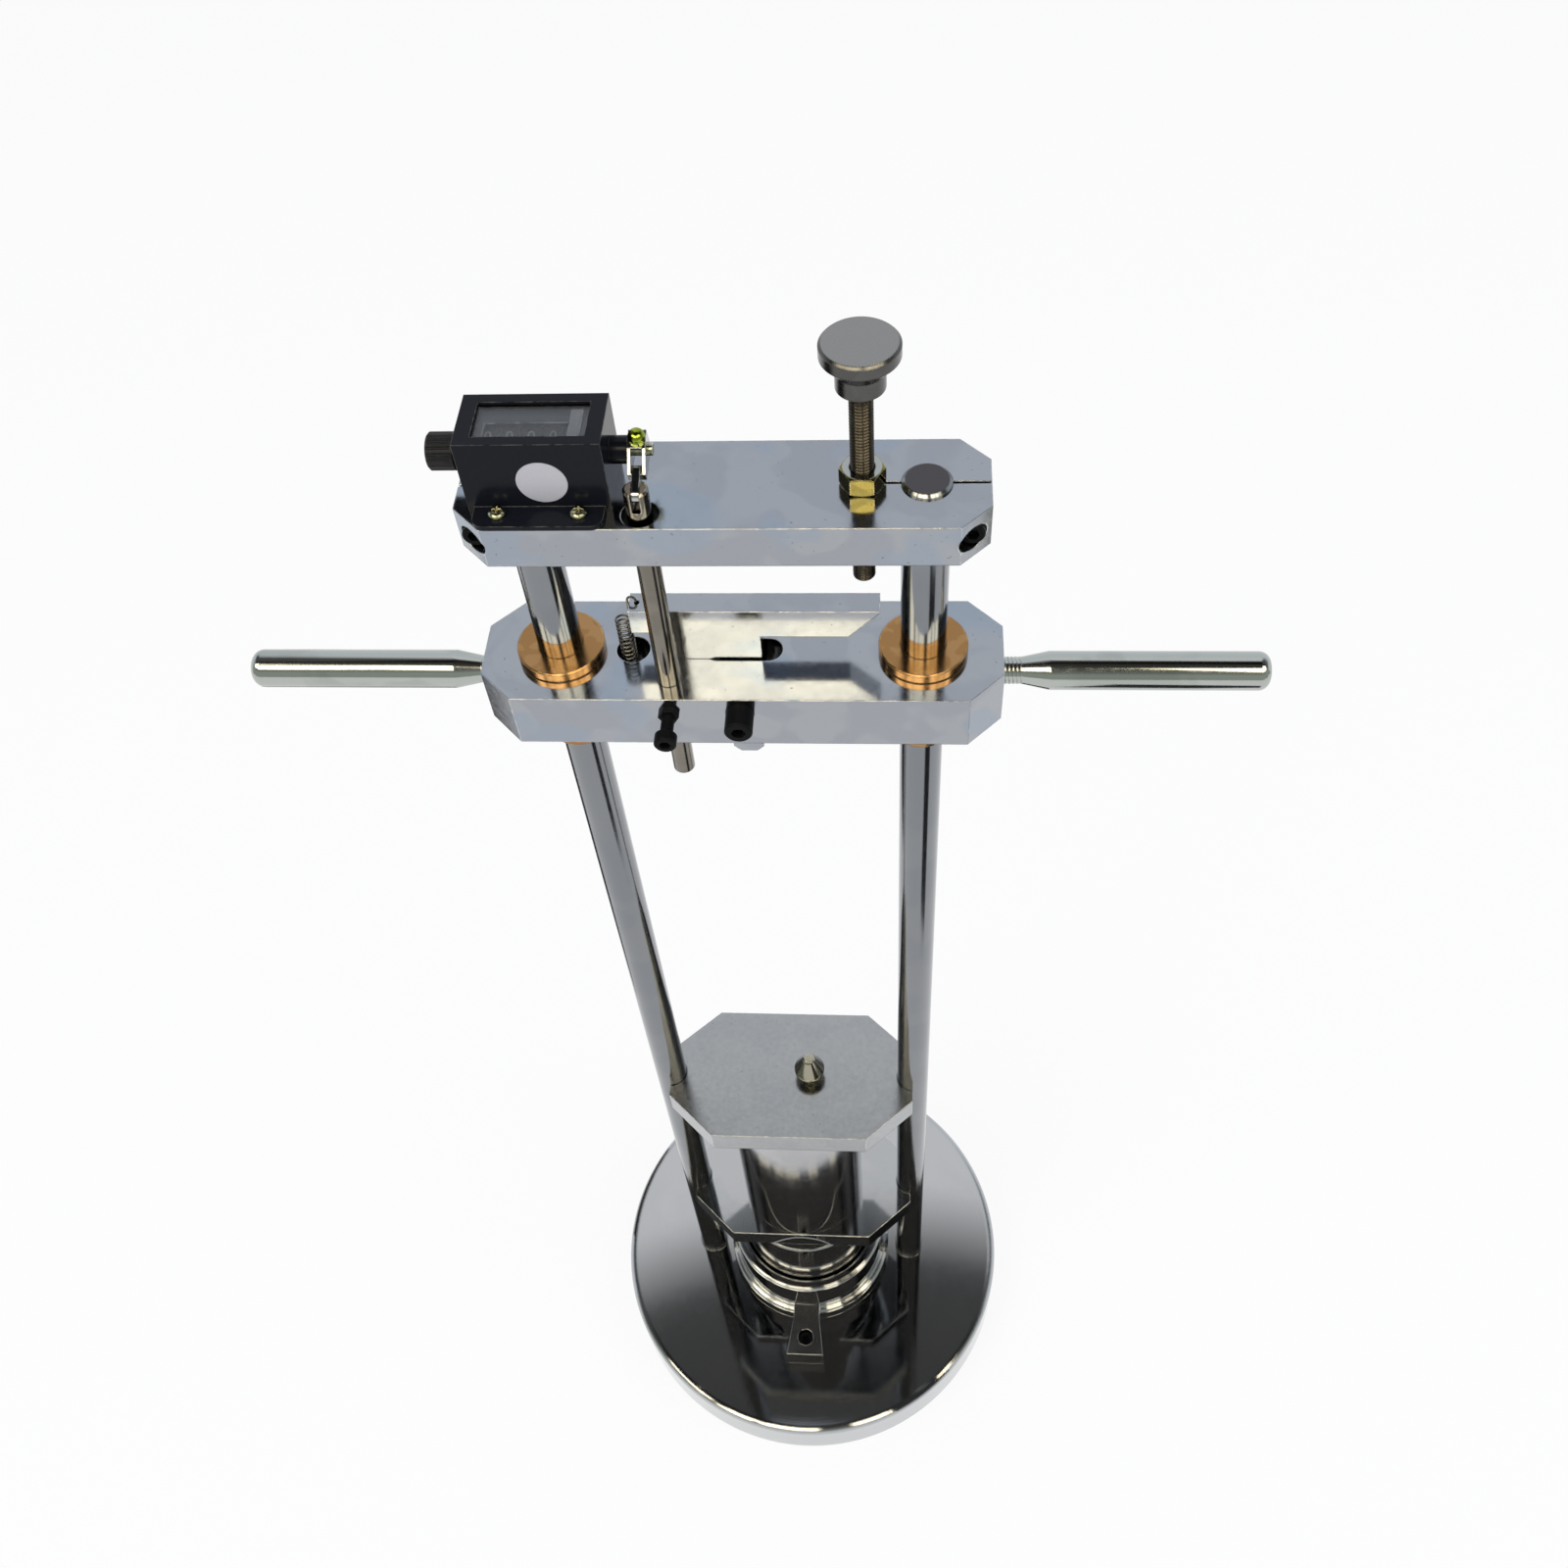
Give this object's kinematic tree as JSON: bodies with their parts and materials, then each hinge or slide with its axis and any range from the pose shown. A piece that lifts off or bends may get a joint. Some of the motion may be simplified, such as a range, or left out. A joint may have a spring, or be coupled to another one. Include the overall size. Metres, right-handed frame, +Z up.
{
  "type": "aggregate impact tester",
  "caption": "Bench machine that lifts a guided hammer and drops it on crushed stone in a steel cup, with lift plate, latch and stroke counter.",
  "frame": {"origin": "centre of the round base's underside, on the floor midway between the two columns", "axes": "+Z up along the columns, +X to the right along the lift plate, -Y towards the front where the cup clamp is"},
  "size_m": [0.457, 0.3, 0.943],
  "materials": {
    "base_steel": "ground and plated, mirror bright",
    "plate_steel": "ground and plated, faint mottle",
    "column_steel": "hard chrome, ground",
    "handle_steel": "turned and plated",
    "knob_nickel": "satin nickel",
    "hammer_steel": "ground and plated",
    "bronze": "turned",
    "black_oxide": "black oxide",
    "yellow_zinc": "yellow zinc plate",
    "counter_black": "gloss black",
    "window_clear": "clear",
    "wheel_black": "satin black with white numbers",
    "bright_chrome": "bright plated",
    "spring_steel": "zinc plated wire"
  },
  "bodies": {
    "frame": {"base_plate": "base_steel", "column_bolts": "black_oxide", "left_column": "column_steel", "right_column": "column_steel", "crosshead": "plate_steel", "crosshead_clamp_bolts": "black_oxide", "counter_housing": "counter_black", "counter_window": "window_clear", "counter_screws": "yellow_zinc", "shaft_bushing": "counter_black", "cup": "base_steel", "cup_clamp_block": "base_steel", "cup_clamp_screw": "black_oxide"},
    "hammer": {"hammer_head": "hammer_steel", "hammer_barrel": "hammer_steel", "upper_guide_plate": "plate_steel", "lower_guide_plate": "plate_steel", "lifting_pin": "handle_steel"},
    "lift": {"lift_plate": "plate_steel", "left_bush": "bronze", "right_bush": "bronze", "left_handle": "handle_steel", "right_handle": "handle_steel", "latch_pivot_screw": "black_oxide", "rod_drag_screw": "black_oxide", "drag_screw_nut": "black_oxide", "spring_anchor_pin": "bright_chrome", "latch_spring": "spring_steel"},
    "latch": {"latch_lever": "plate_steel"},
    "rod": {"trip_rod": "handle_steel", "rod_cross_pin": "bright_chrome"},
    "lever": {"counter_lever": "bright_chrome", "lever_shaft": "yellow_zinc", "lever_screw": "yellow_zinc"},
    "units": {"units_wheel": "wheel_black"},
    "reset": {"reset_knob": "counter_black", "counter_shaft": "bright_chrome", "decade_wheels": "wheel_black"},
    "screw": {"adjusting_screw": "handle_steel"},
    "knob": {"adjusting_knob": "knob_nickel"},
    "nut": {"lock_nut": "yellow_zinc"}
  },
  "joints": [
    {"name": "hammer_slide", "type": "slide", "parent": "frame", "child": "hammer", "axis": [0, 0, 1], "range_m": [0, 0.335]},
    {"name": "lift_slide", "type": "slide", "parent": "frame", "child": "lift", "axis": [0, 0, 1], "range_m": [-0.335, 0.016]},
    {"name": "latch_hinge", "type": "hinge", "parent": "lift", "child": "latch", "pos_m": [0.0007, 0, 0.769], "axis": [0, 1, 0], "range_deg": [0, 8], "stiffness_Nm_per_rad": 0.5, "springref_deg": -22.92, "deforming": ["latch_spring"]},
    {"name": "trip_rod_slide", "type": "slide", "parent": "frame", "child": "rod", "axis": [0, 0, 1], "range_m": [0, 0.0083]},
    {"name": "counter_lever_swing", "type": "hinge", "parent": "frame", "child": "lever", "pos_m": [-0.0305, 0.0012, 0.893], "axis": [-1, 0, 0], "range_deg": [0, 25]},
    {"name": "units_wheel_turn", "type": "hinge", "parent": "frame", "child": "units", "pos_m": [-0.0531, 0.0012, 0.893], "axis": [-1, 0, 0], "range_deg": [0, 36]},
    {"name": "reset_knob_turn", "type": "hinge", "parent": "frame", "child": "reset", "pos_m": [-0.107, 0.0012, 0.893], "axis": [1, 0, 0], "continuous": true},
    {"name": "adjusting_screw_travel", "type": "slide", "parent": "frame", "child": "screw", "axis": [0, 0, 1], "range_m": [-0.003, 0.003]},
    {"name": "adjusting_knob_turn", "type": "hinge", "parent": "screw", "child": "knob", "pos_m": [0.055, 0, 0.93], "axis": [0, 0, 1], "range_deg": [-720, 720]},
    {"name": "lock_nut_turn", "type": "hinge", "parent": "frame", "child": "nut", "pos_m": [0.055, 0, 0.88], "axis": [0, 0, 1], "continuous": true}
  ],
  "couplings": [
    {"joint": "counter_lever_swing", "follows": "trip_rod_slide", "rad_per_m": 52.55},
    {"joint": "units_wheel_turn", "follows": "trip_rod_slide", "rad_per_m": 75.6},
    {"joint": "adjusting_knob_turn", "follows": "adjusting_screw_travel", "rad_per_m": 4188.8}
  ]
}
